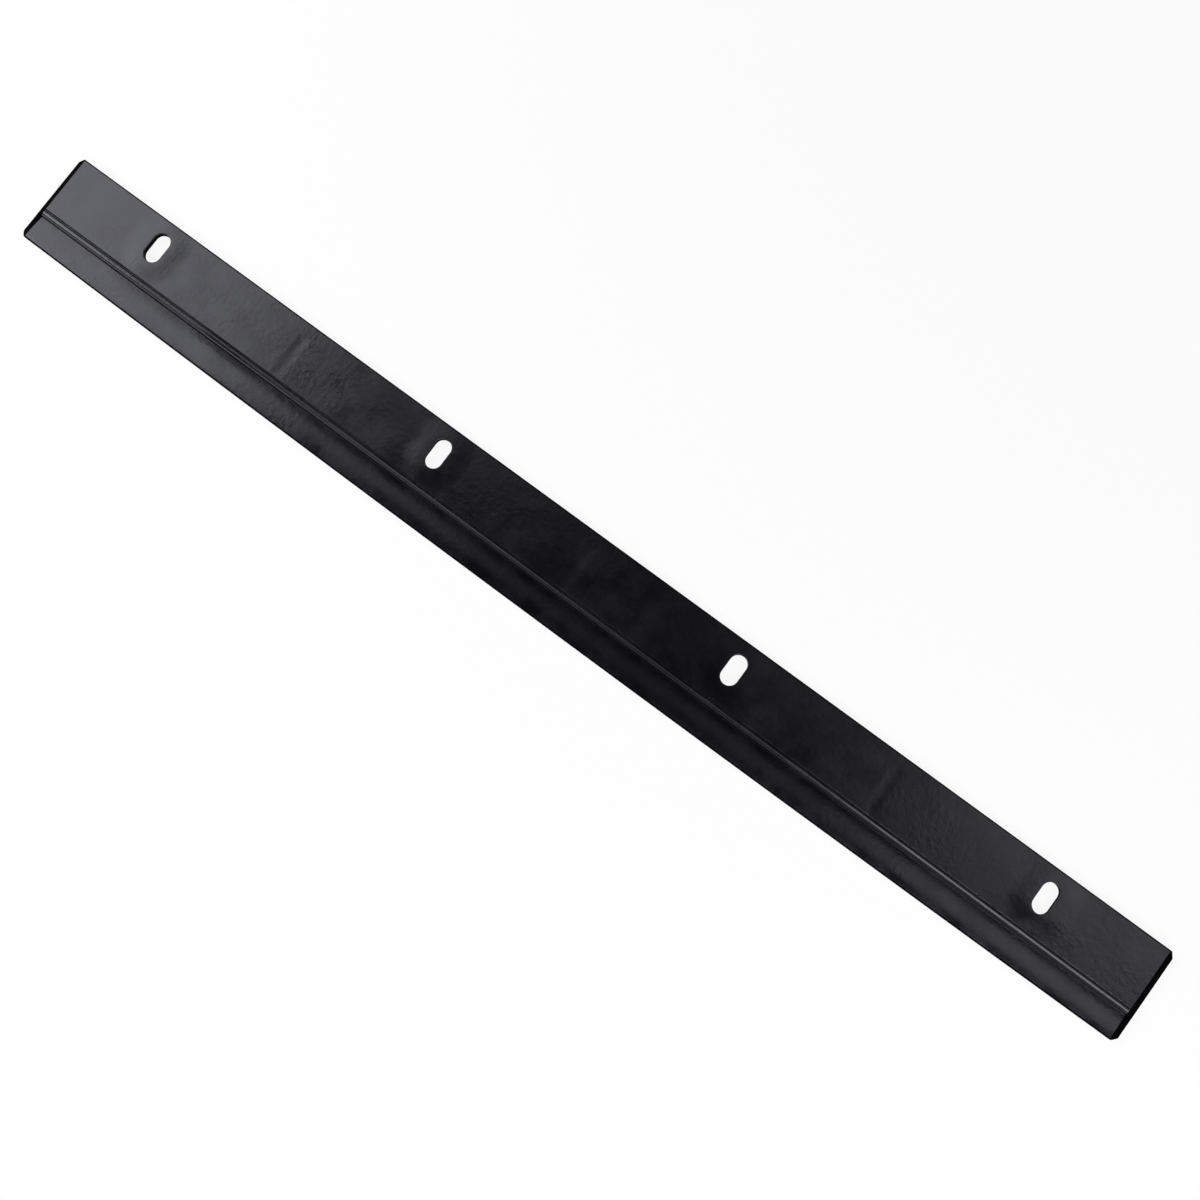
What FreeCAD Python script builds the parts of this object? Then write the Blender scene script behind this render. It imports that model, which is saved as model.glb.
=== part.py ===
import FreeCAD, Part
import math
import os

# Snow blower scraper blade: one strip of steel, pressed with a step along its length, which lies
# on its back with the scraping lip towards -Y. Lengths are millimetres and angles are degrees.
# The frame's origin is under the middle of the blade, on the surface that it lies on.

# Strip
blade_length = 658.0
thickness = 3.5
web_width = 33.5  # flat face, from the slotted edge to where the step begins
lip_reach = 17.9  # from there to the scraping edge at the middle of the blade
edge_crown = 1.9  # how far the scraping edge draws back from its middle to its ends
edge_radius = 0.7  # rounding of the long edges
corner_clip = 2.6  # cut across each corner, seen from the front

# Step and lip
crest_radius = 2.8  # rounding of the front face where the step begins
bend_radius = 0.5  # hollow of the back face under the crest
step_angle = 58.0  # slope of the step's face, down from the web
step_flat = 0.8  # straight part of the step's face
root_radius = 0.15  # hollow of the front face at the step's foot
lip_rise = 15.0  # slope of the lip where it leaves the hollow, back up towards the web's level
lip_radius = 42.0  # crown of the lip's face across its width

# Crease line, the shallow groove that the forming tool leaves just above the step
crease_depth = 0.38
crease_entry = 28.0  # slope of its side towards the slotted edge
crease_exit = 28.0  # slope of its side towards the step
crease_radius = 0.2  # rounding along its bottom
crease_offset = 0.95  # from its bottom to where the step begins

# Ends, each sloping down from the front face to a straight edge
end_slope_length = 3.7
end_edge_height = 2.8  # of the straight edge, over the surface that the blade lies on
end_slope_margin = 1.0  # how far the cutting shape follows the slope past both its ends

# Slots for the carriage bolts, with their long axis across the blade
slot_count = 4
slot_pitch = 177.8
slot_width = 8.9
slot_length = 16.3
slot_edge_distance = 14.7  # from the slotted edge to the slots' centres
slot_rollover = 0.4  # rounding that the punch leaves on the front edge

# How far a cutting or trimming shape runs past what it cuts
overrun = 5.0


class Bend:
    """One arc of the front face's section, with its centre and the two angles that it runs between."""

    def __init__(self, centre, radius, start, end):
        self.centre = centre
        self.radius = radius
        self.start = start
        self.end = end

    def point(self, angle, offset=0.0):
        """The point at an angle on this arc, or on the arc that lies further out by an offset."""
        radius = self.radius + offset
        turn = math.radians(angle)
        across, height = self.centre
        return across + radius * math.cos(turn), height + radius * math.sin(turn)

    def edge(self, offset=0.0):
        """The arc as an edge of the section."""
        middle = (self.start + self.end) / 2
        stops = [self.point(angle, offset) for angle in (self.start, middle, self.end)]
        return Part.Arc(*[section_point(*stop) for stop in stops]).toShape()


def section_point(across, height):
    """A point of the section, from its distance past the slotted edge and its height above the web."""
    return FreeCAD.Vector(0, overall_width / 2 - across, overall_height + height)


def line(start, end):
    """A straight edge of the section between two (across, height) points."""
    return Part.LineSegment(section_point(*start), section_point(*end)).toShape()


def crest_bend():
    """The bend from the flat web down into the step, on the front face."""
    return Bend((web_width, -crest_radius), crest_radius, 90.0, 90.0 - step_angle)


def under_crest_bend():
    """The same bend on the back face, which keeps the sheet at one thickness either side of it."""
    lead = (crest_radius - thickness - bend_radius) * math.tan(math.radians(step_angle / 2))
    centre = (web_width + lead, -thickness - bend_radius)
    return Bend(centre, bend_radius, 90.0, 90.0 - step_angle)


def root_bend():
    """The hollow at the step's foot, which turns the section back up into the lip."""
    across, height = crest.point(crest.end)
    slope = math.radians(step_angle)
    across += step_flat * math.cos(slope) + root_radius * math.sin(slope)
    height += root_radius * math.cos(slope) - step_flat * math.sin(slope)
    return Bend((across, height), root_radius, 270.0 - step_angle, 270.0 + lip_rise)


def lip_bend():
    """The lip's crowned face, which runs past the scraping edge as far as the trimming needs."""
    across, height = root.point(root.end)
    rise = math.radians(lip_rise)
    centre = (across + lip_radius * math.sin(rise), height - lip_radius * math.cos(rise))
    reach = overall_width + overrun - centre[0]
    return Bend(centre, lip_radius, 90.0 + lip_rise, 90.0 - math.degrees(math.asin(reach / lip_radius)))


def front_edges():
    """The front face's section, from the start of the step to past the scraping edge."""
    return [
        crest.edge(),
        line(crest.point(crest.end), root.point(root.start)),
        root.edge(),
        lip.edge(),
    ]


def back_edges():
    """The back face's section over the same stretch, one thickness behind the front face."""
    return [
        under_crest.edge(),
        line(under_crest.point(under_crest.end), root.point(root.start, thickness)),
        root.edge(thickness),
        lip.edge(-thickness),
    ]


def corner(across, height, side):
    """The rounded corner at the slotted edge, on the front face for side 1 or the back for side -1."""
    centre = (across + edge_radius, height - side * edge_radius)
    stops = (180.0, 180.0 - side * 90.0)
    return Bend(centre, edge_radius, *stops)


def strip():
    """The pressed strip at its full length, with its scraping edge still untrimmed."""
    front_corner = corner(0.0, 0.0, 1)
    back_corner = corner(0.0, -thickness, -1)
    step_front, step_back = crest.point(crest.start), under_crest.point(under_crest.start)
    edges = front_edges() + back_edges()
    edges.append(line(lip.point(lip.end), lip.point(lip.end, -thickness)))
    edges.append(line(step_front, front_corner.point(front_corner.end)))
    edges.append(line(step_back, back_corner.point(back_corner.end)))
    edges.append(line(front_corner.point(front_corner.start), back_corner.point(back_corner.start)))
    edges += [front_corner.edge(), back_corner.edge()]
    outline = Part.Wire(Part.__sortEdges__(edges))
    section = Part.Face(outline)
    section.translate(FreeCAD.Vector(-blade_length / 2, 0, 0))
    return section.extrude(FreeCAD.Vector(blade_length, 0, 0))


def crowned_edge(solid):
    """The strip with its scraping edge trimmed to a shallow bow and rounded on both faces."""
    half = blade_length / 2
    low, middle = -overall_width / 2 + edge_crown, -overall_width / 2
    bow = Part.Arc(
        FreeCAD.Vector(-half, low, 0), FreeCAD.Vector(0, middle, 0), FreeCAD.Vector(half, low, 0)
    )
    far = overall_width / 2 + overrun
    sides = Part.makePolygon(
        [
            FreeCAD.Vector(half, low, 0),
            FreeCAD.Vector(half, far, 0),
            FreeCAD.Vector(-half, far, 0),
            FreeCAD.Vector(-half, low, 0),
        ]
    )
    plan = Part.Face(Part.Wire([bow.toShape()] + sides.Edges))
    plan.translate(FreeCAD.Vector(0, 0, -overrun))
    trimmed = solid.common(plan.extrude(FreeCAD.Vector(0, 0, overall_height + 2 * overrun)))
    scraping = [
        edge
        for edge in trimmed.Edges
        if edge.BoundBox.YMax < low + edge_radius and edge.Length > blade_length / 2
    ]
    return trimmed.makeFillet(edge_radius, scraping)


def clipped_corner(x_side, y_side):
    """The prism that cuts across one corner of the blade."""
    x = x_side * blade_length / 2
    y = overall_width / 2 if y_side > 0 else edge_crown - overall_width / 2
    reach = corner_clip + overrun
    beyond_x, beyond_y = x + x_side * overrun, y + y_side * overrun
    tip = FreeCAD.Vector(beyond_x, beyond_y, -overrun)
    along = FreeCAD.Vector(x - x_side * reach, beyond_y, -overrun)
    across = FreeCAD.Vector(beyond_x, y - y_side * reach, -overrun)
    triangle = Part.makePolygon([tip, along, across, tip])
    return Part.Face(triangle).extrude(FreeCAD.Vector(0, 0, overall_height + 2 * overrun))


def room_over_front(x, share):
    """The outline of the room over the front face at an X, its height over the end's edge multiplied."""
    squeeze = FreeCAD.Matrix()
    squeeze.scale(FreeCAD.Vector(1, 1, share))
    base = FreeCAD.Vector(x, 0, end_edge_height)
    face = Part.Wire([line((-overrun, 0.0), crest.point(crest.start))] + front_edges())
    face.translate(FreeCAD.Vector(0, 0, -end_edge_height))
    face = Part.Wire(face.transformGeometry(squeeze).Edges)
    face.translate(base)
    first, last = face.OrderedVertexes[0].Point, face.OrderedVertexes[-1].Point
    top = overall_height + overrun
    corners = [last, FreeCAD.Vector(x, last.y, top), FreeCAD.Vector(x, first.y, top), first]
    return Part.Wire(face.OrderedEdges + Part.makePolygon(corners).Edges)


def end_slope(x_side):
    """What one end loses: the room over the front face, brought down to the straight edge at the end."""
    rooms = []
    for run in (end_slope_length + end_slope_margin, -end_slope_margin):
        x = x_side * (blade_length / 2 - run)
        rooms.append(room_over_front(x, run / end_slope_length))
    return Part.makeLoft(rooms, True, True)


def slot_places():
    """The X of each slot's centre, evenly spaced about the middle of the blade."""
    return [(n - (slot_count - 1) / 2) * slot_pitch for n in range(slot_count)]


def slot(x):
    """One slot, as a prism with round ends that runs through the web."""
    y = overall_width / 2 - slot_edge_distance
    radius = slot_width / 2
    reach = slot_length / 2 - radius
    base = -overrun
    ends = []
    for side in (1, -1):
        ends.append(
            Part.Arc(
                FreeCAD.Vector(x + side * radius, y + side * reach, base),
                FreeCAD.Vector(x, y + side * (reach + radius), base),
                FreeCAD.Vector(x - side * radius, y + side * reach, base),
            ).toShape()
        )
    for side in (1, -1):
        ends.append(
            Part.LineSegment(
                FreeCAD.Vector(x - side * radius, y + side * reach, base),
                FreeCAD.Vector(x - side * radius, y - side * reach, base),
            ).toShape()
        )
    outline = Part.Face(Part.Wire(Part.__sortEdges__(ends)))
    return outline.extrude(FreeCAD.Vector(0, 0, overall_height + 2 * overrun))


def rolled_slots(solid):
    """The blade with the front edge of every slot rounded."""
    near_centre = slot_length / 2 + slot_rollover
    y = overall_width / 2 - slot_edge_distance
    rims = []
    for edge in solid.Edges:
        middle = edge.BoundBox.Center
        on_front = abs(edge.BoundBox.ZMin - overall_height) < edge_radius / 10
        beside_slot = min(abs(middle.x - x) for x in slot_places()) < near_centre
        if on_front and beside_slot and abs(middle.y - y) < near_centre and edge.Length < slot_pitch / 2:
            rims.append(edge)
    return solid.makeFillet(slot_rollover, rims)


def crease():
    """The round-nosed wedge that presses the crease line into the web, from end to end."""
    nose = (web_width - crease_offset, crease_radius - crease_depth)
    bottom = Bend(nose, crease_radius, 270.0 - crease_entry, 270.0 + crease_exit)
    first, last = bottom.point(bottom.start), bottom.point(bottom.end)
    entry_run = (crease_depth - first[1]) / math.tan(math.radians(crease_entry))
    exit_run = (crease_depth - last[1]) / math.tan(math.radians(crease_exit))
    near, far = (first[0] - entry_run, crease_depth), (last[0] + exit_run, crease_depth)
    wedge = Part.Face(Part.Wire([bottom.edge(), line(last, far), line(far, near), line(near, first)]))
    wedge.translate(FreeCAD.Vector(-blade_length / 2 - overrun, 0, 0))
    return wedge.extrude(FreeCAD.Vector(blade_length + 2 * overrun, 0, 0))


def scraper_blade():
    """The whole blade."""
    blade = crowned_edge(strip())
    cuts = [clipped_corner(x_side, y_side) for x_side in (-1, 1) for y_side in (-1, 1)]
    cuts += [end_slope(-1), end_slope(1)]
    cuts += [slot(x) for x in slot_places()]
    blade = rolled_slots(blade.cut(cuts))
    return blade.cut(crease())


overall_width = web_width + lip_reach
crest = crest_bend()
under_crest = under_crest_bend()
root = root_bend()
lip = lip_bend()
step_depth = -root.point(270.0)[1]
overall_height = thickness + step_depth

os.makedirs("parts", exist_ok=True)
blade = scraper_blade()
blade.exportStep("parts/scraper_blade.step")
box = blade.optimalBoundingBox()
print("solids", len(blade.Solids), "valid", blade.isValid(), "volume", round(blade.Volume, 1))
print("size", round(box.XLength, 3), round(box.YLength, 3), round(box.ZLength, 3))
print("low corner", round(box.XMin, 3), round(box.YMin, 3), round(box.ZMin, 3))
print("web back at z", round(step_depth, 3), "front at z", round(overall_height, 3))
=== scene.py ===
"""Snow blower scraper blade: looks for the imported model, on a pale studio floor.

The blade is one strip of steel, cut, punched with four slots, pressed with a step along its length
and coated black. Lengths are metres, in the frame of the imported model: +X runs along the blade, +Y
towards the slotted edge and +Z out of the front face.
"""

import logging
import math
from dataclasses import dataclass, field
from enum import Enum

import bmesh
import bpy
from mathutils import Matrix, Vector


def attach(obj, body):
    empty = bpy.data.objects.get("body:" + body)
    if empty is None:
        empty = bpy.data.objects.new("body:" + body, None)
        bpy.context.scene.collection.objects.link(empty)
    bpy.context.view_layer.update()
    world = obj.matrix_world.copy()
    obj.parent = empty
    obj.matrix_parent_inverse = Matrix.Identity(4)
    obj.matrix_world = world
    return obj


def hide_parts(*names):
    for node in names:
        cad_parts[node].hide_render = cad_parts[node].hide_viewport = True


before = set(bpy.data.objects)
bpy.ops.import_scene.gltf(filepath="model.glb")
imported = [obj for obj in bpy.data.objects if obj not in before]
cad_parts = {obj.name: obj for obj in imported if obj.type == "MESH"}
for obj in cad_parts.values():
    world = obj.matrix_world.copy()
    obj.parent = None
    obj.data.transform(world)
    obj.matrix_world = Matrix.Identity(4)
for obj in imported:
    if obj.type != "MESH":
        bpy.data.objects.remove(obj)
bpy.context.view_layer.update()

MM = 0.001
TINY = 1e-6
# More steps of TINY than the blade has across.
ORDER_SPAN = 1e5
FRONT_MARK = "front"
CUT_MARK = "cut"
LOG = logging.getLogger("scraper_blade")


def linear_colour(hex_code: str) -> tuple[float, float, float, float]:
    """Turns an sRGB hex colour into linear red, green, blue and an alpha of 1.

    Args:
        hex_code: Six hex digits, as in "1a1a1c".

    Returns:
        The four numbers that a colour socket takes.
    """
    channels = []
    for place in (0, 2, 4):
        value = int(hex_code[place : place + 2], 16) / 255
        # The sRGB curve is straight near black and a power above that.
        channels.append(value / 12.92 if value <= 0.04045 else ((value + 0.055) / 1.055) ** 2.4)
    return (channels[0], channels[1], channels[2], 1.0)


def add_node(
    tree: bpy.types.NodeTree,
    kind: str,
    sockets: dict[str | int, object] | None = None,
    **settings: object,
) -> bpy.types.Node:
    """Adds a node with its settings, its input values and the links that feed it.

    Args:
        tree: The node tree that gets the node.
        kind: Blender's name for the node type.
        sockets: Input values by name or number. An output socket is linked instead of copied.
        settings: Properties of the node itself.

    Returns:
        The new node.
    """
    node = tree.nodes.new(kind)
    for name, value in settings.items():
        setattr(node, name, value)
    for key, value in (sockets or {}).items():
        if isinstance(value, bpy.types.NodeSocket):
            tree.links.new(value, node.inputs[key])
        else:
            node.inputs[key].default_value = value
    return node


def new_material(name: str) -> bpy.types.Material:
    """Makes an empty node material.

    Args:
        name: What the finish is.

    Returns:
        The material, with no nodes.
    """
    material = bpy.data.materials.new(name)
    material.use_nodes = True
    material.node_tree.nodes.clear()
    return material


def add_object(name: str, data: bpy.types.ID) -> bpy.types.Object:
    """Makes an object and puts it into the scene.

    Args:
        name: The object's name.
        data: Its mesh, light or camera.

    Returns:
        The object, at the origin.
    """
    thing = bpy.data.objects.new(name, data)
    bpy.context.scene.collection.objects.link(thing)
    return thing


def order_number(place: Vector) -> float:
    """A number that orders places on the blade by X, then Y, then Z, in steps of a micrometre."""
    x, y, z = (round(part / TINY) for part in place)
    return (x * ORDER_SPAN + y) * ORDER_SPAN + z


def put_in_order(mesh: bmesh.types.BMesh) -> None:
    """Sorts a mesh's points, edges and faces by where they lie, so that each run gives the same mesh.

    Args:
        mesh: The mesh.
    """
    mesh.verts.sort(key=lambda vertex: order_number(vertex.co))
    mesh.edges.sort(key=lambda edge: order_number((edge.verts[0].co + edge.verts[1].co) / 2))
    mesh.faces.sort(key=lambda face: order_number(face.calc_center_median()))


class Side(Enum):
    """The two faces of the strip."""

    FRONT = 1
    BACK = -1


class Cut(Enum):
    """Where a point of the skin lies on a sheared or punched edge."""

    NONE = 0
    LONG_EDGE = 1
    SLOT = 2


class Finish(Enum):
    """The blade's material slots."""

    COAT = 0
    # The cut finish is partly duller cut steel and partly painted shade.
    CUT_STEEL_PAINTED_SHADE = 1


@dataclass
class Tracer:
    """Draws a chain of edges as a section is set out, with straights, bends and sharp turns."""

    mesh: bmesh.types.BMesh
    start: Vector
    first: Vector
    second: Vector
    heading: float = 0.0
    origin: bmesh.types.BMVert = field(init=False)
    tip: bmesh.types.BMVert = field(init=False)

    def __post_init__(self) -> None:
        """Puts down the chain's first point."""
        self.origin = bmesh.ops.create_vert(self.mesh, co=self.start)["vert"][0]
        self.tip = self.origin

    def direction(self, turn: float = 0.0) -> Vector:
        """The way that the chain points, turned to the left by an angle."""
        angle = self.heading + turn
        return self.first * math.cos(angle) + self.second * math.sin(angle)

    def straight(self, length: float) -> None:
        """Draws one straight edge.

        Args:
            length: The edge's length.
        """
        new = bmesh.ops.extrude_vert_indiv(self.mesh, verts=[self.tip])["verts"]
        bmesh.ops.translate(self.mesh, verts=new, vec=self.direction() * length)
        self.tip = new[0]

    def pivot(self, angle: float) -> None:
        """Turns on the spot, to the left for a positive angle."""
        self.heading += angle

    def bend(self, radius: float, angle: float, steps: int) -> None:
        """Draws an arc, to the left for a positive angle.

        Args:
            radius: The arc's radius.
            angle: How far the chain turns.
            steps: How many edges the arc has.
        """
        side = math.copysign(math.pi / 2, angle)
        last = bmesh.ops.spin(
            self.mesh,
            geom=[self.tip],
            cent=self.tip.co + self.direction(side) * radius,
            axis=self.first.cross(self.second),
            angle=angle,
            steps=steps,
            use_duplicate=False,
        )["geom_last"]
        self.tip = next(item for item in last if isinstance(item, bmesh.types.BMVert))
        self.heading += angle

    def close(self) -> None:
        """Joins the last point to the first."""
        bmesh.ops.contextual_create(self.mesh, geom=[self.tip, self.origin])


@dataclass
class BladeSection:
    """The strip's section: a flat web, a step pressed down from it and a crowned lip."""

    thickness: float = 3.5 * MM
    web_width: float = 33.5 * MM
    lip_reach: float = 17.9 * MM
    edge_radius: float = 0.7 * MM
    crest_radius: float = 2.8 * MM
    bend_radius: float = 0.5 * MM
    step_angle: float = math.radians(58.0)
    step_flat: float = 0.8 * MM
    root_radius: float = 0.15 * MM
    lip_rise: float = math.radians(15.0)
    lip_radius: float = 42.0 * MM
    crease_depth: float = 0.38 * MM
    crease_entry: float = math.radians(28.0)
    crease_exit: float = math.radians(28.0)
    crease_radius: float = 0.2 * MM
    crease_offset: float = 0.95 * MM
    steps_per_turn: int = 72
    fewest_steps: int = 2
    edge_steps: int = 5
    crease_steps: int = 6
    crest_extra_steps: int = 2
    rise_steps: int = 2
    lip_steps: int = 10

    @property
    def width(self) -> float:
        """The blade's whole width at its middle."""
        return self.web_width + self.lip_reach

    @property
    def step_depth(self) -> float:
        """How far the step's foot lies below the web."""
        rounds = (self.crest_radius + self.root_radius) * (1 - math.cos(self.step_angle))
        return rounds + self.step_flat * math.sin(self.step_angle)

    @property
    def height(self) -> float:
        """From the surface that the blade lies on to the web's front face."""
        return self.thickness + self.step_depth

    def crease_side(self, slope: float) -> tuple[float, float]:
        """One side of the crease line.

        Args:
            slope: How steep the side is.

        Returns:
            The length of its straight part, and how far the side reaches from the crease's bottom.
        """
        rounded = self.crease_radius * (1 - math.cos(slope))
        straight = (self.crease_depth - rounded) / math.sin(slope)
        return straight, self.crease_radius * math.sin(slope) + straight * math.cos(slope)

    @property
    def lip_centre(self) -> tuple[float, float]:
        """The centre of the lip's crown.

        Returns:
            Its distance across the blade from the slotted edge, and its height over the web.
        """
        slope, rise = self.step_angle, self.lip_rise
        across = self.web_width + (self.crest_radius + self.root_radius) * math.sin(slope)
        across += self.step_flat * math.cos(slope) + self.root_radius * math.sin(rise)
        height = self.root_radius * (1 - math.cos(rise)) - self.step_depth
        across += self.lip_radius * math.sin(rise)
        return across, height - self.lip_radius * math.cos(rise)

    def fillet(self, side: Side) -> tuple[float, float]:
        """Where a rounding of the scraping edge meets the lip's front or back face.

        Args:
            side: The face that is rounded.

        Returns:
            The angle about the lip's centre, and the height of the rounding's centre.
        """
        across, height = self.lip_centre
        reach = self.width - self.edge_radius - across
        front = self.lip_radius - self.edge_radius
        back = self.lip_radius - self.thickness + self.edge_radius
        distance = front if side is Side.FRONT else back
        rise = math.sqrt(distance**2 - reach**2)
        return math.atan2(rise, reach), height + rise

    @property
    def back_flat(self) -> float:
        """The straight part of the step on the back face.

        Returns:
            Its length, from the bend under the crest to the bend under the root.
        """
        narrow, wide = math.tan(self.step_angle / 2), math.tan((self.step_angle + self.lip_rise) / 2)
        run = self.crest_radius * narrow + self.step_flat + self.root_radius * wide
        run += self.thickness * (wide - narrow)
        return run - self.bend_radius * narrow - (self.root_radius + self.thickness) * wide

    @property
    def back_web(self) -> float:
        """From the slotted edge to where the step begins on the back face."""
        lead = self.crest_radius - self.thickness - self.bend_radius
        return self.web_width + lead * math.tan(self.step_angle / 2)

    def steps(self, angle: float) -> int:
        """How many edges an arc of an angle gets."""
        return max(self.fewest_steps, round(abs(angle) / math.tau * self.steps_per_turn))

    def trace(self, mesh: bmesh.types.BMesh) -> None:
        """Draws the section as one closed chain at X = 0, its front face and cut edges marked.

        Args:
            mesh: The mesh that gets the chain.
        """
        front_mark = mesh.verts.layers.int.new(FRONT_MARK)
        cut_mark = mesh.verts.layers.int.new(CUT_MARK)
        start = Vector((0.0, self.width / 2, self.height - self.edge_radius))
        pen = Tracer(mesh, start, Vector((0, -1, 0)), Vector((0, 0, 1)), math.pi / 2)
        slope, rise = self.step_angle, self.lip_rise
        entry_straight, entry_reach = self.crease_side(self.crease_entry)
        exit_straight, exit_reach = self.crease_side(self.crease_exit)
        quarter = math.pi / 2
        top = quarter + rise

        # The front face, from the slotted edge to the scraping edge.
        pen.bend(self.edge_radius, -quarter, self.edge_steps)
        slotted = set(mesh.verts)
        pen.straight(self.web_width - self.crease_offset - entry_reach - self.edge_radius)
        pen.pivot(-self.crease_entry)
        pen.straight(entry_straight)
        pen.bend(self.crease_radius, self.crease_entry + self.crease_exit, self.crease_steps)
        pen.straight(exit_straight)
        pen.pivot(-self.crease_exit)
        pen.straight(self.crease_offset - exit_reach)
        pen.bend(self.crest_radius, -slope, self.steps(slope) + self.crest_extra_steps)
        pen.straight(self.step_flat)
        pen.bend(self.root_radius, slope, self.steps(slope))
        pen.bend(self.root_radius, rise, self.rise_steps)
        front_angle, front_height = self.fillet(Side.FRONT)
        pen.bend(self.lip_radius, front_angle - top, self.lip_steps)
        smooth = set(mesh.verts) - {pen.tip}
        pen.bend(self.edge_radius, -front_angle, self.edge_steps)
        front = set(mesh.verts)

        # The back face, from the scraping edge to the slotted edge.
        back_angle, back_height = self.fillet(Side.BACK)
        pen.straight(front_height - back_height)
        pen.bend(self.edge_radius, back_angle - math.pi, self.edge_steps)
        scraping = set(mesh.verts) - smooth
        pen.bend(self.lip_radius - self.thickness, top - back_angle, self.lip_steps)
        pen.bend(self.root_radius + self.thickness, -rise, self.rise_steps)
        pen.bend(self.root_radius + self.thickness, -slope, self.steps(slope))
        pen.straight(self.back_flat)
        pen.bend(self.bend_radius, slope, self.steps(slope))
        pen.straight(self.back_web - self.edge_radius)
        smooth = set(mesh.verts) - {pen.tip}
        pen.bend(self.edge_radius, -quarter, self.edge_steps)
        pen.close()
        slotted |= set(mesh.verts) - smooth

        for vertex in mesh.verts:
            vertex[front_mark] = vertex in front
            cut = Cut.LONG_EDGE if vertex in slotted or vertex in scraping else Cut.NONE
            vertex[cut_mark] = cut.value

    def lip_share(self, point: Vector) -> float:
        """How far along the lip a point lies, from 0 at the hollow to 1 at the scraping edge.

        Args:
            point: A point of the section, in the blade's frame.

        Returns:
            The share, clipped to 0 and 1.
        """
        across, height = self.lip_centre
        angle = math.atan2(point.z - self.height - height, self.width / 2 - point.y - across)
        start = math.pi / 2 + self.lip_rise
        end = self.fillet(Side.FRONT)[0]
        if self.width / 2 - point.y < self.web_width:
            return 0.0
        return min(1.0, max(0.0, (start - angle) / (start - end)))


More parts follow.
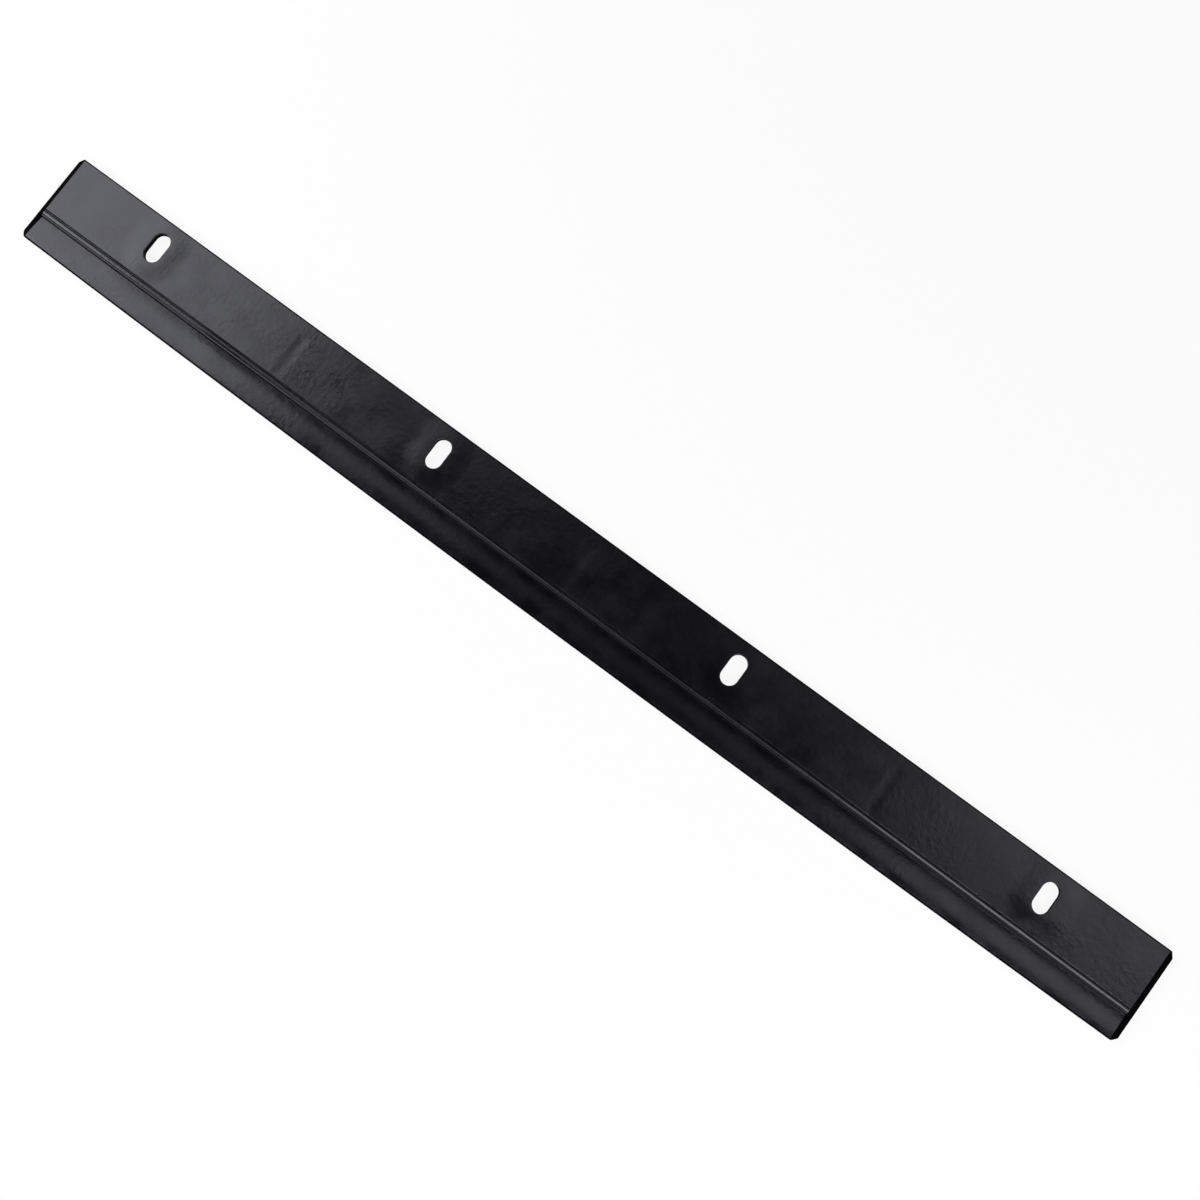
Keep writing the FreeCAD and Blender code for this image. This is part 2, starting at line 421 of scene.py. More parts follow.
@dataclass
class SlotRow:
    """Four slots for carriage bolts, punched through the web with their front edges rolled over."""

    count: int = 4
    pitch: float = 177.8 * MM
    width: float = 8.9 * MM
    length: float = 16.3 * MM
    edge_distance: float = 14.7 * MM
    rollover: float = 0.4 * MM
    cell: float = 18.0 * MM
    half_steps: int = 20
    roll_steps: int = 4
    # A level face's normal points straight up or down by at least this much.
    least_upright: float = 0.99

    @property
    def straight(self) -> float:
        """How long a slot's straight sides are."""
        return self.length - self.width

    def places(self) -> list[float]:
        """The X of each slot on the blade's right half."""
        centres = [(n - (self.count - 1) / 2) * self.pitch for n in range(self.count)]
        return [x for x in centres if x > 0]

    def outline(self, mesh: bmesh.types.BMesh, centre: Vector, grown: float) -> bmesh.types.BMFace:
        """Makes one slot's outline as a face that looks up.

        Args:
            mesh: The mesh that gets the face.
            centre: The slot's centre, at the height of the face.
            grown: How far the outline stands outside the slot.

        Returns:
            The face.
        """
        radius = self.width / 2 + grown
        start = centre + Vector((radius, self.straight / 2, 0))
        pen = Tracer(mesh, start, Vector((1, 0, 0)), Vector((0, 1, 0)), math.pi / 2)
        known = set(mesh.edges)
        pen.bend(radius, math.pi, self.half_steps)
        pen.straight(self.straight)
        pen.bend(radius, math.pi, self.half_steps)
        pen.close()
        edges = [edge for edge in mesh.edges if edge not in known]
        face = bmesh.ops.contextual_create(mesh, geom=edges)["faces"][0]
        face.normal_update()
        if face.normal.z < 0:
            bmesh.ops.reverse_faces(mesh, faces=[face])
        return face

    def clear_cell(
        self, mesh: bmesh.types.BMesh, x: float, level: float, section: BladeSection
    ) -> list[bmesh.types.BMEdge]:
        """Takes out the one face of the web's front or back at a slot.

        Args:
            mesh: The blade's skin.
            x: The slot's place along the blade.
            level: The height of the face.
            section: The blade's section.

        Returns:
            The edges round the gap.
        """
        cell_face = next(
            face
            for face in mesh.faces
            if abs(face.normal.z) > self.least_upright
            and face.calc_area() > section.web_width * self.cell / 2
            and abs(face.calc_center_median().x - x) < self.cell / 2
            and abs(face.calc_center_median().z - level) < section.edge_radius / 2
        )
        edges = list(cell_face.edges)
        bmesh.ops.delete(mesh, geom=[cell_face], context="FACES_ONLY")
        return edges

    def wall(self, mesh: bmesh.types.BMesh, centre: Vector, depth: float) -> None:
        """Makes one slot's rolled front edge and its wall, open at both faces.

        Args:
            mesh: The blade's skin.
            centre: The slot's centre on the front face.
            depth: The sheet's thickness.
        """
        mouth = self.outline(mesh, centre, self.rollover)
        punched = set(mouth.verts)
        inset, sunk = 0.0, 0.0
        for step in range(1, self.roll_steps + 1):
            turn = math.pi / 2 * step / self.roll_steps
            new_inset = self.rollover * math.sin(turn)
            new_sunk = self.rollover * (1 - math.cos(turn))
            bmesh.ops.inset_region(
                mesh,
                faces=[mouth],
                use_boundary=True,
                use_even_offset=True,
                thickness=new_inset - inset,
                depth=sunk - new_sunk,
            )
            inset, sunk = new_inset, new_sunk
            punched |= set(mouth.verts)
        down = bmesh.ops.extrude_discrete_faces(mesh, faces=[mouth])["faces"]
        punched |= set(down[0].verts)
        cut_mark = mesh.verts.layers.int[CUT_MARK]
        for vertex in punched:
            vertex[cut_mark] = Cut.SLOT.value
        bmesh.ops.translate(mesh, verts=list(down[0].verts), vec=Vector((0, 0, self.rollover - depth)))
        bmesh.ops.delete(mesh, geom=down, context="FACES_ONLY")

    def punch(self, mesh: bmesh.types.BMesh, x: float, section: BladeSection) -> None:
        """Cuts one slot through the web.

        Args:
            mesh: The blade's skin, with one face of the web's front and one of its back at the slot.
            x: The slot's place along the blade.
            section: The blade's section.
        """
        y = section.width / 2 - self.edge_distance
        levels = ((Side.FRONT, section.height), (Side.BACK, section.step_depth))
        around = {side: self.clear_cell(mesh, x, level, section) for side, level in levels}
        self.wall(mesh, Vector((x, y, section.height)), section.thickness)
        for side, level in levels:
            middle = Vector((x, y, level))
            rim = [
                edge
                for edge in mesh.edges
                if len(edge.link_faces) == 1
                and all((vertex.co - middle).length < self.cell / 2 for vertex in edge.verts)
                and all(abs(vertex.co.z - level) < TINY for vertex in edge.verts)
            ]
            bmesh.ops.triangle_fill(
                mesh,
                use_beauty=True,
                edges=around[side] + rim,
                normal=Vector((0, 0, side.value)),
            )


@dataclass
class BladeEnds:
    """Each end slopes down to a straight edge, and its corners are clipped."""

    slope_length: float = 3.7 * MM
    edge_height: float = 2.8 * MM
    brow_length: float = 0.5 * MM
    brow_steps: int = 3
    corner_clip: float = 2.6 * MM
    dulling: float = 0.15 * MM
    dulling_steps: int = 2
    # A cut face stands upright, and its normal points along the blade by at least this much.
    most_upward: float = 0.01
    least_endward: float = 0.3

    def stations(self, end: float) -> list[tuple[float, float]]:
        """Where the slope's rows lie, from the rounding at its top to the very end.

        Args:
            end: The X of the blade's end.

        Returns:
            Pairs of a place along the blade and how far down the slope the front face is there, from
            0 at the web's level to 1 at the straight edge.
        """
        start = end - self.slope_length - self.brow_length / 2
        rows = []
        for step in range(self.brow_steps + 1):
            share = step / self.brow_steps
            fall = self.brow_length * share**2 / 2
            rows.append((start + self.brow_length * share, fall / self.slope_length))
        rows.append((end, 1.0))
        return rows

    def clip(self, mesh: bmesh.types.BMesh, corner: Vector, outward: Vector) -> None:
        """Cuts across one corner and closes the cut but for its side on the end face.

        Args:
            mesh: The blade's skin, open at its end.
            corner: The corner, in plan.
            outward: The way from the blade to the corner, in plan.
        """
        normal = outward.normalized()
        inside = Vector((math.copysign(self.corner_clip, outward.x), 0, 0))
        point = corner - inside
        bmesh.ops.bisect_plane(
            mesh,
            geom=list(mesh.verts) + list(mesh.edges) + list(mesh.faces),
            dist=TINY / 10,
            plane_co=point,
            plane_no=normal,
            clear_outer=True,
        )
        cut = [vertex for vertex in mesh.verts if abs((vertex.co - point).dot(normal)) < TINY]
        edge_pair = [vertex for vertex in cut if abs(vertex.co.x - corner.x) < TINY]
        bmesh.ops.contextual_create(mesh, geom=edge_pair)
        loop = [
            edge
            for edge in mesh.edges
            if len(edge.link_faces) < 2 and all(vertex in cut for vertex in edge.verts)
        ]
        bmesh.ops.contextual_create(mesh, geom=loop)

    def cap(self, mesh: bmesh.types.BMesh, end: float) -> None:
        """Closes the end face and takes the sharpness off the edges round it and the clips.

        Args:
            mesh: The blade's skin with its corners clipped.
            end: The X of the blade's end.
        """
        loop = [
            edge
            for edge in mesh.edges
            if len(edge.link_faces) < 2 and all(abs(vertex.co.x - end) < TINY for vertex in edge.verts)
        ]
        bmesh.ops.contextual_create(mesh, geom=loop)
        put_in_order(mesh)
        mesh.normal_update()
        cut_faces = [
            face
            for face in mesh.faces
            if abs(face.normal.z) < self.most_upward
            and abs(face.normal.x) > self.least_endward
            and all(vertex.co.x > end - self.corner_clip - TINY for vertex in face.verts)
        ]
        edges = {edge for face in cut_faces for edge in face.edges}
        bmesh.ops.bevel(
            mesh,
            geom=list(edges),
            affect="EDGES",
            offset=self.dulling,
            segments=self.dulling_steps,
            profile=0.5,
            material=-1,
            clamp_overlap=True,
        )


@dataclass(frozen=True)
class BlackCoat:
    """Black coat on steel, sprayed and baked.

    The coat is a semi-gloss blue-black. Its orange peel breaks up the soft reflections, more in some
    patches than in others. The sheet under it isn't quite flat, so broad reflections wander, a faint
    hollow mark crosses the web midway between the slots, and the web stands a little proud round each
    slot, which darkens one side of it and lightens the other. Sizes are in millimetres.
    """

    name: str = "black_coated_steel"
    # Two blue-blacks and two degrees of gloss in soft clouds, with a cold sheen where a light shows.
    deep_colour: str = "040405"
    pale_colour: str = "0b0b12"
    sheen: str = "f3f4ff"
    roughness: tuple[float, float] = (0.19, 0.29)
    cloud_size: float = 13.0
    cloud_detail: float = 3.0
    cloud_span: tuple[float, float] = (0.35, 0.65)
    # Orange peel, drawn a little coarse so that it shows, and half as high outside its patches.
    peel_size: float = 2.6
    peel_detail: float = 2.0
    peel_height: float = 0.09
    patch_size: float = 24.0
    patch_least: float = 0.5
    patch_span: tuple[float, float] = (0.42, 0.62)
    # The slow waves of the sheet, which bend the edges of what it reflects.
    wave_size: float = 30.0
    wave_height: float = 0.26
    broad_detail: float = 1.0
    finer_share: float = 0.55
    # The mark midway between two slots: a shallow and duller band that ends short of the web's edges.
    mark_width: float = 8.0
    mark_depth: float = 0.08
    mark_dulling: float = 0.05
    mark_middle: float = 6.5
    mark_reach: tuple[float, float] = (9.0, 15.0)
    # The rise of the sheet round a slot, from where it begins to fall to where it has ended.
    rise_reach: tuple[float, float] = (4.0, 17.0)
    rise_height: float = 0.6

    def mark(
        self, tree: bpy.types.NodeTree, place: bpy.types.NodeSocket, slots: SlotRow
    ) -> bpy.types.NodeSocket:
        """Adds the marks that cross the web midway between the slots.

        Args:
            tree: The material's node tree.
            place: Coordinates in millimetres.
            slots: The row of slots.

        Returns:
            The marks' strength, 1 along their middles and 0 off them.
        """
        split = add_node(tree, "ShaderNodeSeparateXYZ", {"Vector": place})
        half = slots.pitch / 2 / MM
        along = add_node(
            tree, "ShaderNodeMath", {0: split.outputs["X"], 1: half, 2: -half}, operation="WRAP"
        )
        across = add_node(
            tree, "ShaderNodeMath", {0: split.outputs["Y"], 1: self.mark_middle}, operation="SUBTRACT"
        )
        shares = []
        for offset, (near, far) in ((along, (0.0, self.mark_width / 2)), (across, self.mark_reach)):
            distance = add_node(tree, "ShaderNodeMath", {0: offset.outputs[0]}, operation="ABSOLUTE")
            share = add_node(
                tree,
                "ShaderNodeMapRange",
                {"Value": distance.outputs[0], "From Min": far, "From Max": near},
                interpolation_type="SMOOTHSTEP",
            )
            shares.append(share.outputs["Result"])
        return add_node(
            tree, "ShaderNodeMath", {0: shares[0], 1: shares[1]}, operation="MULTIPLY"
        ).outputs[0]

    def rise(
        self,
        tree: bpy.types.NodeTree,
        place: bpy.types.NodeSocket,
        slots: SlotRow,
        section: BladeSection,
    ) -> bpy.types.NodeSocket:
        """Adds the faint rise of the sheet round each slot, as the punch leaves it.

        Args:
            tree: The material's node tree.
            place: Coordinates in millimetres.
            slots: The row of slots.
            section: The blade's section.

        Returns:
            The rise's share, 1 at the slot's rim and 0 off it.
        """
        split = add_node(tree, "ShaderNodeSeparateXYZ", {"Vector": place})
        half = slots.pitch / 2 / MM
        middle = (section.width / 2 - slots.edge_distance) / MM
        sums = {
            "X": (("ADD", {1: half}), ("WRAP", {1: half, 2: -half})),
            "Y": (
                ("SUBTRACT", {1: middle}),
                ("ABSOLUTE", {}),
                ("SUBTRACT", {1: slots.straight / 2 / MM}),
                ("MAXIMUM", {1: 0.0}),
            ),
        }
        offsets = {}
        for axis, operations in sums.items():
            value = split.outputs[axis]
            for operation, sockets in operations:
                value = add_node(
                    tree, "ShaderNodeMath", {0: value, **sockets}, operation=operation
                ).outputs[0]
            offsets[axis] = value
        offset = add_node(tree, "ShaderNodeCombineXYZ", offsets).outputs["Vector"]
        distance = add_node(
            tree, "ShaderNodeVectorMath", {0: offset}, operation="LENGTH"
        ).outputs["Value"]
        near, far = self.rise_reach
        return add_node(
            tree,
            "ShaderNodeMapRange",
            {"Value": distance, "From Min": far, "From Max": near},
            interpolation_type="SMOOTHSTEP",
        ).outputs["Result"]

    def bump(
        self,
        tree: bpy.types.NodeTree,
        place: bpy.types.NodeSocket,
        mark: bpy.types.NodeSocket,
        rise: bpy.types.NodeSocket,
    ) -> bpy.types.NodeSocket:
        """Adds up the coat's heights: orange peel, waves, marks and rises.

        Args:
            tree: The material's node tree.
            place: Coordinates in millimetres.
            mark: The strength of the marks across the web.
            rise: The share of the rise round the slots.

        Returns:
            The bumped normal.
        """
        lumps = (
            (self.peel_size, self.peel_detail),
            (self.patch_size, self.broad_detail),
            (self.wave_size, self.broad_detail),
        )
        peel, patch, wave = (
            add_node(
                tree,
                "ShaderNodeTexNoise",
                {"Vector": place, "Scale": 1 / size, "Detail": detail, "Roughness": self.finer_share},
            ).outputs["Fac"]
            for size, detail in lumps
        )
        peel_height = add_node(
            tree,
            "ShaderNodeMapRange",
            {
                "Value": patch,
                "From Min": self.patch_span[0],
                "From Max": self.patch_span[1],
                "To Min": self.patch_least * self.peel_height,
                "To Max": self.peel_height,
            },
        ).outputs["Result"]
        height = add_node(
            tree, "ShaderNodeMath", {0: peel, 1: peel_height}, operation="MULTIPLY"
        ).outputs[0]
        lifts = ((wave, self.wave_height), (mark, -self.mark_depth), (rise, self.rise_height))
        for share, lift in lifts:
            height = add_node(
                tree, "ShaderNodeMath", {0: share, 1: lift, 2: height}, operation="MULTIPLY_ADD"
            ).outputs[0]
        return add_node(
            tree, "ShaderNodeBump", {"Height": height, "Strength": 1.0, "Distance": MM}
        ).outputs["Normal"]

    def material(self, slots: SlotRow, section: BladeSection) -> bpy.types.Material:
        """Makes the coat's material.

        Args:
            slots: The row of slots, which the marks and rises follow.
            section: The blade's section.

        Returns:
            The material.
        """
        material = new_material(self.name)
        tree = material.node_tree
        place = add_node(tree, "ShaderNodeTexCoord").outputs["Object"]
        in_mm = add_node(
            tree, "ShaderNodeMapping", {"Vector": place, "Scale": (1 / MM, 1 / MM, 1 / MM)}
        ).outputs["Vector"]
        mark = self.mark(tree, in_mm, slots)
        rise = self.rise(tree, in_mm, slots, section)
        cloud = add_node(
            tree,
            "ShaderNodeTexNoise",
            {
                "Vector": in_mm,
                "Scale": 1 / self.cloud_size,
                "Detail": self.cloud_detail,
                "Roughness": self.finer_share,
            },
        ).outputs["Fac"]
        dullness = add_node(
            tree,
            "ShaderNodeMapRange",
            {
                "Value": cloud,
                "From Min": self.cloud_span[0],
                "From Max": self.cloud_span[1],
                "To Min": self.roughness[0],
                "To Max": self.roughness[1],
            },
        ).outputs["Result"]
        roughness = add_node(
            tree,
            "ShaderNodeMath",
            {0: mark, 1: self.mark_dulling, 2: dullness},
            operation="MULTIPLY_ADD",
        ).outputs[0]
        colour = add_node(
            tree,
            "ShaderNodeMix",
            {"Factor": cloud, 6: linear_colour(self.deep_colour), 7: linear_colour(self.pale_colour)},
            data_type="RGBA",
        ).outputs[2]
        coat = add_node(
            tree,
            "ShaderNodeBsdfPrincipled",
            {
                "Base Color": colour,
                "Roughness": roughness,
                "Specular Tint": linear_colour(self.sheen),
                "Normal": self.bump(tree, in_mm, mark, rise),
            },
        )
        add_node(tree, "ShaderNodeOutputMaterial", {"Surface": coat.outputs["BSDF"]})
        return material


@dataclass(frozen=True)
class CutSteelPaintedShade:
    """The same coat over sheared and punched steel, matt and close to black.

    It is on the sloping ends, the long edges' roundings and the slots' rims and walls. Cut steel is
    duller than the coat, but this near-black colour with almost no gloss is mostly painted shade: it
    stands in for the shadow at the blade's ends and the shade on its long edges and slot walls, so the
    blade's outline and its slots are drawn in black. The tears run up and down the cut. Their size and
    height are in millimetres.
    """

    name: str = "sheared_steel_painted_shade"
    # Near-black and almost without gloss: painted shade on the ends, edge roundings and slot walls, over
    # a duller cut.
    colour: str = "020203"
    roughness: float = 0.85
    gloss_level: float = 0.02
    tear_size: float = 0.5
    tear_height: float = 0.03
    tear_detail: float = 2.0
    # The grain is drawn out up and down the cut, to about three times its width.
    tear_squash: float = 0.3

    def material(self) -> bpy.types.Material:
        """Makes the cut steel's material.

        Returns:
            The material.
        """
        material = new_material(self.name)
        tree = material.node_tree
        place = add_node(tree, "ShaderNodeTexCoord").outputs["Object"]
        scale = (1 / MM, 1 / MM, self.tear_squash / MM)
        in_mm = add_node(tree, "ShaderNodeMapping", {"Vector": place, "Scale": scale}).outputs["Vector"]
        tears = add_node(
            tree,
            "ShaderNodeTexNoise",
            {"Vector": in_mm, "Scale": 1 / self.tear_size, "Detail": self.tear_detail},
        ).outputs["Fac"]
        bump = add_node(
            tree,
            "ShaderNodeBump",
            {"Height": tears, "Strength": 1.0, "Distance": self.tear_height * MM},
        ).outputs["Normal"]
        coat = add_node(
            tree,
            "ShaderNodeBsdfPrincipled",
            {
                "Base Color": linear_colour(self.colour),
                "Roughness": self.roughness,
                "Specular IOR Level": self.gloss_level,
                "Normal": bump,
            },
        )
        add_node(tree, "ShaderNodeOutputMaterial", {"Surface": coat.outputs["BSDF"]})
        return material


@dataclass(frozen=True)
class PaleFloor:
    """Matt white studio paper, which shows a soft shadow under the blade.

    Where it is turned up as a backdrop, its glow is painted darker towards its top, down to a light
    grey: painted shade, as a backdrop has above the reach of its lights. Lengths are in metres.
    """

    name: str = "white_studio_paper"
    colour: str = "f2f2f2"
    glow_share: float = 0.9
    # The glow's share at the backdrop's top, and the heights over which it falls there: painted shade.
    painted_shade_top_share: float = 0.25
    painted_shade_span: tuple[float, float] = (0.8, 2.8)

    def material(self) -> bpy.types.Material:
        """Makes the paper's material.

        Returns:
            The material.
        """
        material = new_material(self.name)
        tree = material.node_tree
        path = add_node(tree, "ShaderNodeLightPath")
        seen = path.outputs["Is Camera Ray"]
        for other in ("Is Glossy Ray", "Is Transmission Ray"):
            seen = add_node(
                tree, "ShaderNodeMath", {0: seen, 1: path.outputs[other]}, operation="MAXIMUM"
            ).outputs[0]
        place = add_node(tree, "ShaderNodeTexCoord").outputs["Object"]
        height = add_node(tree, "ShaderNodeSeparateXYZ", {"Vector": place}).outputs["Z"]
        # The glow is painted lower up the backdrop: painted shade towards its top.
        glow = add_node(
            tree,
            "ShaderNodeMapRange",
            {
                "Value": height,
                "From Min": self.painted_shade_span[0],
                "From Max": self.painted_shade_span[1],
                "To Min": self.glow_share,
                "To Max": self.painted_shade_top_share,
            },
        ).outputs["Result"]
        share = add_node(
            tree, "ShaderNodeMath", {0: seen, 1: glow}, operation="MULTIPLY"
        ).outputs[0]
        paper = add_node(tree, "ShaderNodeBsdfDiffuse", {"Color": linear_colour(self.colour)})
        white = add_node(tree, "ShaderNodeEmission", {"Strength": 1.0})
        mixed = add_node(
            tree,
            "ShaderNodeMixShader",
            {0: share, 1: paper.outputs["BSDF"], 2: white.outputs["Emission"]},
        )
        add_node(tree, "ShaderNodeOutputMaterial", {"Surface": mixed.outputs["Shader"]})
        return material


@dataclass
class ScraperBlade:
    """The whole blade, built as its right half and mirrored."""

    length: float = 658.0 * MM
    edge_crown: float = 1.9 * MM
    row_spacing: float = 24.0 * MM
    sharpest_turn: float = math.radians(24.0)
    section: BladeSection = field(default_factory=BladeSection)
    slots: SlotRow = field(default_factory=SlotRow)
    ends: BladeEnds = field(default_factory=BladeEnds)
    finish: BlackCoat = field(default_factory=BlackCoat)
    cut_painted_shade_finish: CutSteelPaintedShade = field(default_factory=CutSteelPaintedShade)

    def rows(self) -> list[tuple[float, float]]:
        """Where the skin's rows lie on the right half.

        Returns:
            Pairs of a place along the blade and how far down the end's slope the row is.
        """
        slope_rows = self.ends.stations(self.length / 2)
        marks = [0.0]
        for x in self.slots.places():
            marks += [x - self.slots.cell / 2, x + self.slots.cell / 2]
        marks.append(slope_rows[0][0])
        rows = []
        for start, stop in zip(marks, marks[1:]):
            at_slot = any(start < x < stop for x in self.slots.places())
            parts = 1 if at_slot else max(1, round((stop - start) / self.row_spacing))
            rows += [(start + (stop - start) * n / parts, 0.0) for n in range(parts)]
        return rows + slope_rows

    def skin(self, mesh: bmesh.types.BMesh) -> None:
        """Draws the section and pulls it along the right half of the blade.

        Args:
            mesh: The empty mesh that gets the skin.
        """
        self.section.trace(mesh)
        front_mark = mesh.verts.layers.int[FRONT_MARK]
        edges = list(mesh.edges)
        rows = self.rows()
        base = Matrix.Translation(Vector((0, 0, -self.ends.edge_height)))
        for (x, fall), (next_x, next_fall) in zip(rows, rows[1:]):
            new = bmesh.ops.extrude_edge_only(mesh, edges=edges)["geom"]
            verts = [item for item in new if isinstance(item, bmesh.types.BMVert)]
            owned = set(verts)
            edges = [
                item
                for item in new
                if isinstance(item, bmesh.types.BMEdge) and all(v in owned for v in item.verts)
            ]
            bmesh.ops.translate(mesh, verts=verts, vec=Vector((next_x - x, 0, 0)))
            front = [vertex for vertex in verts if vertex[front_mark]]
            shrink = Vector((1, 1, (1 - next_fall) / (1 - fall)))
            bmesh.ops.scale(mesh, vec=shrink, space=base, verts=front)

    def draw_back_lip(self, mesh: bmesh.types.BMesh) -> None:
        """Bows the scraping edge: the lip shortens along its own crown towards the blade's end.

        Args:
            mesh: The skin of the right half.
        """
        across, height = self.section.lip_centre
        for vertex in mesh.verts:
            share = self.section.lip_share(vertex.co)
            if not share:
                continue
            back = self.edge_crown * (2 * vertex.co.x / self.length) ** 2
            centre = Vector((vertex.co.x, self.section.width / 2 - across, self.section.height + height))
            turn = Matrix.Rotation(-share * back / self.section.lip_radius, 3, "X")
            bmesh.ops.rotate(mesh, verts=[vertex], cent=centre, matrix=turn)

    def mesh(self) -> bmesh.types.BMesh:
        """Builds the blade's mesh.

        Returns:
            The finished mesh, closed, with its faces pointing outwards.
        """
        mesh = bmesh.new()
        self.skin(mesh)
        self.draw_back_lip(mesh)
        mesh.normal_update()
        for x in self.slots.places():
            self.slots.punch(mesh, x, self.section)
        end = self.length / 2
        slotted, scraping = self.section.width / 2, self.edge_crown - self.section.width / 2
        self.ends.clip(mesh, Vector((end, slotted, 0)), Vector((1, 1, 0)))
        self.ends.clip(mesh, Vector((end, scraping, 0)), Vector((1, -1, 0)))
        self.ends.cap(mesh, end)
        bmesh.ops.mirror(
            mesh,
            geom=list(mesh.verts) + list(mesh.edges) + list(mesh.faces),
            axis="X",
            merge_dist=TINY,
        )
        bmesh.ops.remove_doubles(mesh, verts=list(mesh.verts), dist=TINY)
        bmesh.ops.recalc_face_normals(mesh, faces=list(mesh.faces))
        put_in_order(mesh)
        return mesh

    def give_finishes(self, mesh: bmesh.types.BMesh) -> None:
        """Gives each face its material slot: cut steel at the ends, long edges and slots.

        Args:
            mesh: The finished mesh.
        """
        slope_start = self.length / 2 - self.ends.slope_length
        cut_mark = mesh.verts.layers.int[CUT_MARK]
        for face in mesh.faces:
            face.smooth = True
            sloped = min(abs(vertex.co.x) for vertex in face.verts) > slope_start
            cuts = {Cut(vertex[cut_mark]) for vertex in face.verts}
            on_cut = len(cuts) == 1 and Cut.NONE not in cuts
            # The ends, the long edges' roundings and the slots get the cut finish, whose near-black is
            # painted shade.
            finish = Finish.CUT_STEEL_PAINTED_SHADE if sloped or on_cut else Finish.COAT
            face.material_index = finish.value

    def build(self) -> bpy.types.Object:
        """Makes the blade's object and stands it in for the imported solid.

        Returns:
            The object.
        """
        mesh = self.mesh()
        self.give_finishes(mesh)
        data = bpy.data.meshes.new("blade")
        mesh.to_mesh(data)
        mesh.free()
        data.set_sharp_from_angle(angle=self.sharpest_turn)
        data.materials.append(self.finish.material(self.slots, self.section))
        data.materials.append(self.cut_painted_shade_finish.material())
        blade = add_object("blade", data)
        weighted = blade.modifiers.new("flat_faces_stay_flat", "WEIGHTED_NORMAL")
        weighted.keep_sharp = True
        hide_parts("scraper_blade")
        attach(blade, "root")
        return blade


@dataclass
class Softbox:
    """One rectangular studio light, with two edges along X.

    Its front and back edges are given as Y and Z. A level light faces down, and one whose back edge is
    higher leans towards the blade from the front. A brightness of 1 is white.
    """

    name: str
    along: tuple[float, float]
    front: tuple[float, float]
    back: tuple[float, float]
    brightness: float

    def build(self) -> bpy.types.Object:
        """Hangs the light, so that its face shows at its brightness.

        Returns:
            The light's object.
        """
        depth, rise = self.back[0] - self.front[0], self.back[1] - self.front[1]
        lamp = bpy.data.lights.new(self.name, "AREA")
        lamp.shape = "RECTANGLE"
        lamp.size = self.along[1] - self.along[0]
        lamp.size_y = math.hypot(depth, rise)
        # Its watts are its brightness times pi times the area of its face.
        lamp.energy = self.brightness * math.pi * lamp.size * lamp.size_y
        holder = add_object(self.name, lamp)
        middle_y, middle_z = (self.front[0] + self.back[0]) / 2, (self.front[1] + self.back[1]) / 2
        holder.location = (sum(self.along) / 2, middle_y, middle_z)
        holder.rotation_euler.x = math.atan2(rise, depth)
        return holder


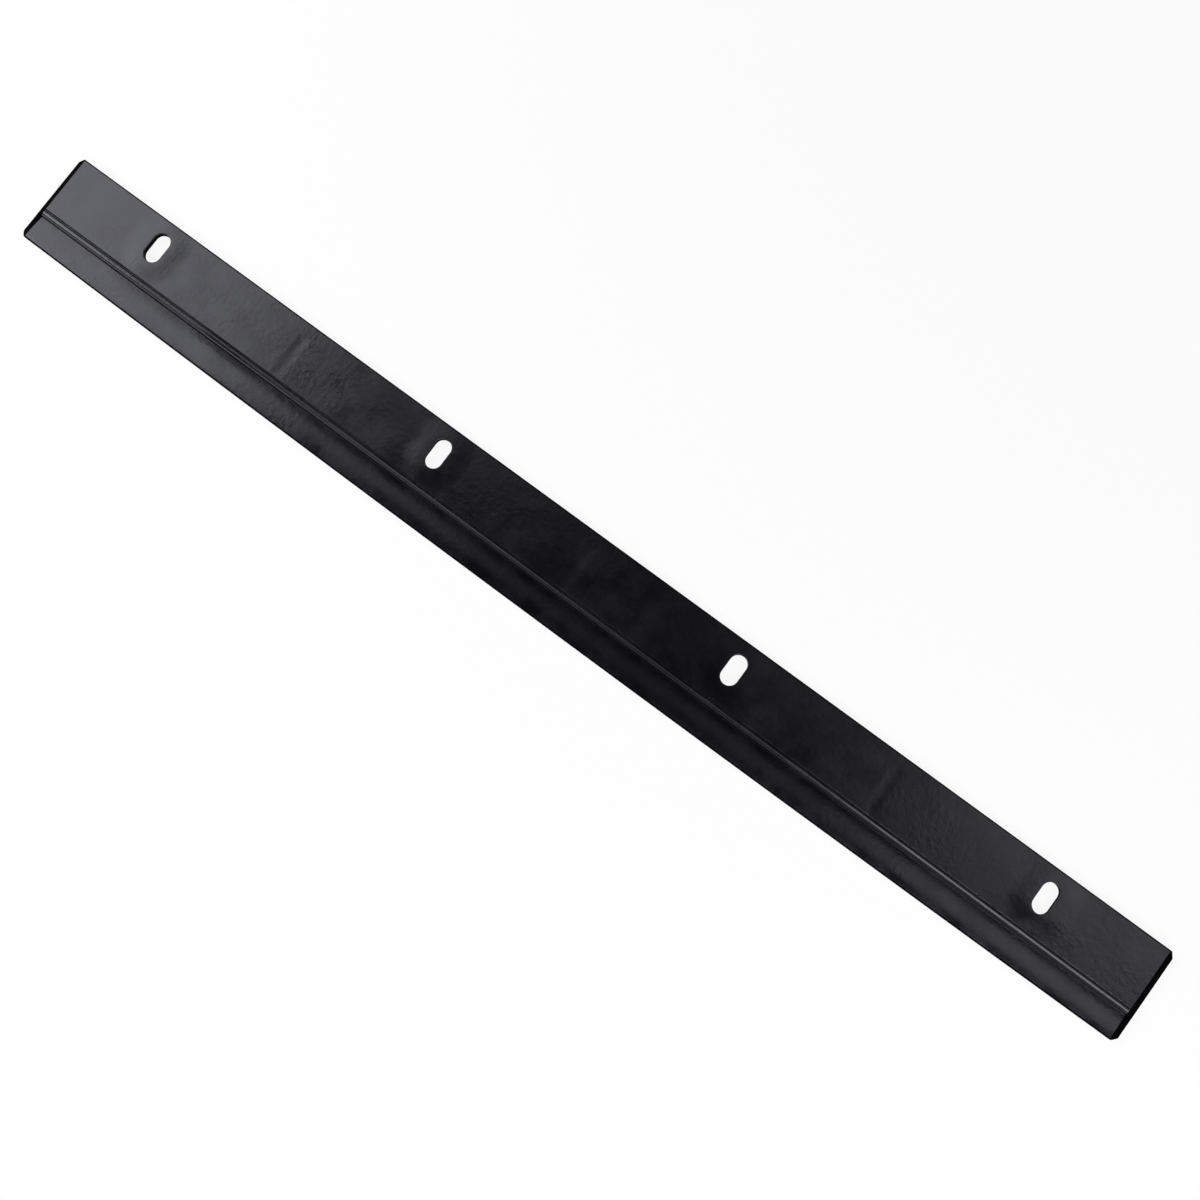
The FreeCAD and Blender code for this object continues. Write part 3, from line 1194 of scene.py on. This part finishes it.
@dataclass
class Studio:
    """The floor, the lights, the surroundings and the camera."""

    floor_radius: float = 6.0
    wall_height: float = 2.8
    wall_steps: int = 96
    surroundings: float = 0.012
    floor: PaleFloor = field(default_factory=PaleFloor)
    lights: tuple[Softbox, ...] = (
        # Over the back of the floor, from left to right. The flat web shows these, so it is light at
        # its left end, black in its middle and half light at its right end.
        Softbox("left_softbox", (-1.70, -0.74), (-0.06, 0.90), (0.70, 0.90), 3.4),
        Softbox("left_panel", (-0.74, -0.52), (-0.10, 0.90), (0.42, 0.90), 2.8),
        Softbox("back_left_panel", (-0.44, -0.28), (0.10, 0.90), (0.38, 0.90), 0.86),
        Softbox("back_middle_panel", (-0.28, -0.11), (0.10, 0.90), (0.38, 0.90), 0.24),
        Softbox("back_dim_panel", (-0.11, 0.02), (0.10, 0.90), (0.38, 0.90), 0.06),
        Softbox("back_right_panel", (0.02, 0.325), (0.10, 0.90), (0.38, 0.90), 0.28),
        Softbox("right_panel", (0.325, 0.55), (0.06, 0.90), (0.46, 0.90), 1.25),
        Softbox("right_softbox", (0.55, 1.25), (0.06, 0.90), (0.46, 0.90), 1.55),
        # Over the front of the floor, and one low at the left. The crest and the step show these, as
        # lighter lines along the blade.
        Softbox("front_left_softbox", (-1.70, -0.80), (-0.78, 0.90), (-0.02, 0.90), 6.2),
        Softbox("low_left_softbox", (-2.20, -0.60), (-1.60, 0.10), (-1.60, 0.80), 1.4),
        Softbox("front_panel", (-0.54, -0.20), (-0.85, 0.90), (-0.28, 0.90), 2.1),
        Softbox("front_middle_panel", (-0.20, 0.27), (-0.85, 0.90), (-0.28, 0.90), 0.7),
        Softbox("front_right_softbox", (0.30, 1.50), (-0.94, 0.90), (-0.20, 0.90), 5.0),
    )
    # Fitted to the slots, edges and corners as they lie in the photograph.
    camera_place: tuple[float, float, float] = (0.090024, -0.058758, 0.696062)
    camera_right: tuple[float, float, float] = (0.80178, 0.596699, -0.033128)
    camera_down: tuple[float, float, float] = (0.58853, -0.798004, -0.129699)
    camera_forward: tuple[float, float, float] = (-0.103828, 0.084493, -0.991)
    camera_reach: tuple[float, float] = (0.01, 50.0)
    lens: float = 43.638
    sensor: float = 36.0

    def lay_floor(self) -> bpy.types.Object:
        """Lays the paper under the blade, turned up all round as a backdrop.

        Returns:
            The floor's object.
        """
        mesh = bmesh.new()
        bmesh.ops.create_circle(
            mesh, cap_ends=True, radius=self.floor_radius, segments=self.wall_steps
        )
        wall = bmesh.ops.extrude_edge_only(mesh, edges=list(mesh.edges))["geom"]
        rim = [item for item in wall if isinstance(item, bmesh.types.BMVert)]
        bmesh.ops.translate(mesh, verts=rim, vec=Vector((0, 0, self.wall_height)))
        data = bpy.data.meshes.new("floor")
        mesh.to_mesh(data)
        mesh.free()
        data.materials.append(self.floor.material())
        floor = add_object("floor", data)
        return floor

    def set_surroundings(self) -> None:
        """Makes the room over the backdrop a plain dark grey, which black gloss shows as black."""
        world = bpy.data.worlds.new("studio")
        world.use_nodes = True
        tree = world.node_tree
        tree.nodes.clear()
        room = add_node(
            tree,
            "ShaderNodeBackground",
            {"Color": linear_colour("ffffff"), "Strength": self.surroundings},
        )
        add_node(tree, "ShaderNodeOutputWorld", {"Surface": room.outputs["Background"]})
        bpy.context.scene.world = world

    def place_camera(self) -> bpy.types.Object:
        """Places the camera where the photograph was taken from.

        Returns:
            The camera's object.
        """
        data = bpy.data.cameras.new("camera")
        data.lens = self.lens
        data.sensor_width = self.sensor
        data.clip_start, data.clip_end = self.camera_reach
        camera = add_object("camera", data)
        right, down = Vector(self.camera_right), Vector(self.camera_down)
        back = -Vector(self.camera_forward)
        turn = Matrix((right, -down, back)).transposed().to_4x4()
        camera.matrix_world = Matrix.Translation(Vector(self.camera_place)) @ turn
        bpy.context.scene.camera = camera
        return camera

    def build(self) -> None:
        """Sets up the whole studio."""
        self.lay_floor()
        self.set_surroundings()
        for light in self.lights:
            light.build()
        self.place_camera()
        bpy.context.scene.view_settings.view_transform = "Standard"


def main() -> None:
    """Builds the blade and the studio."""
    logging.basicConfig(level=logging.INFO, format="%(message)s")
    blade = ScraperBlade().build()
    LOG.info("blade: %d faces", len(blade.data.polygons))
    Studio().build()
    LOG.info("studio: floor, lights and camera")


if __name__ == "__main__":
    main()
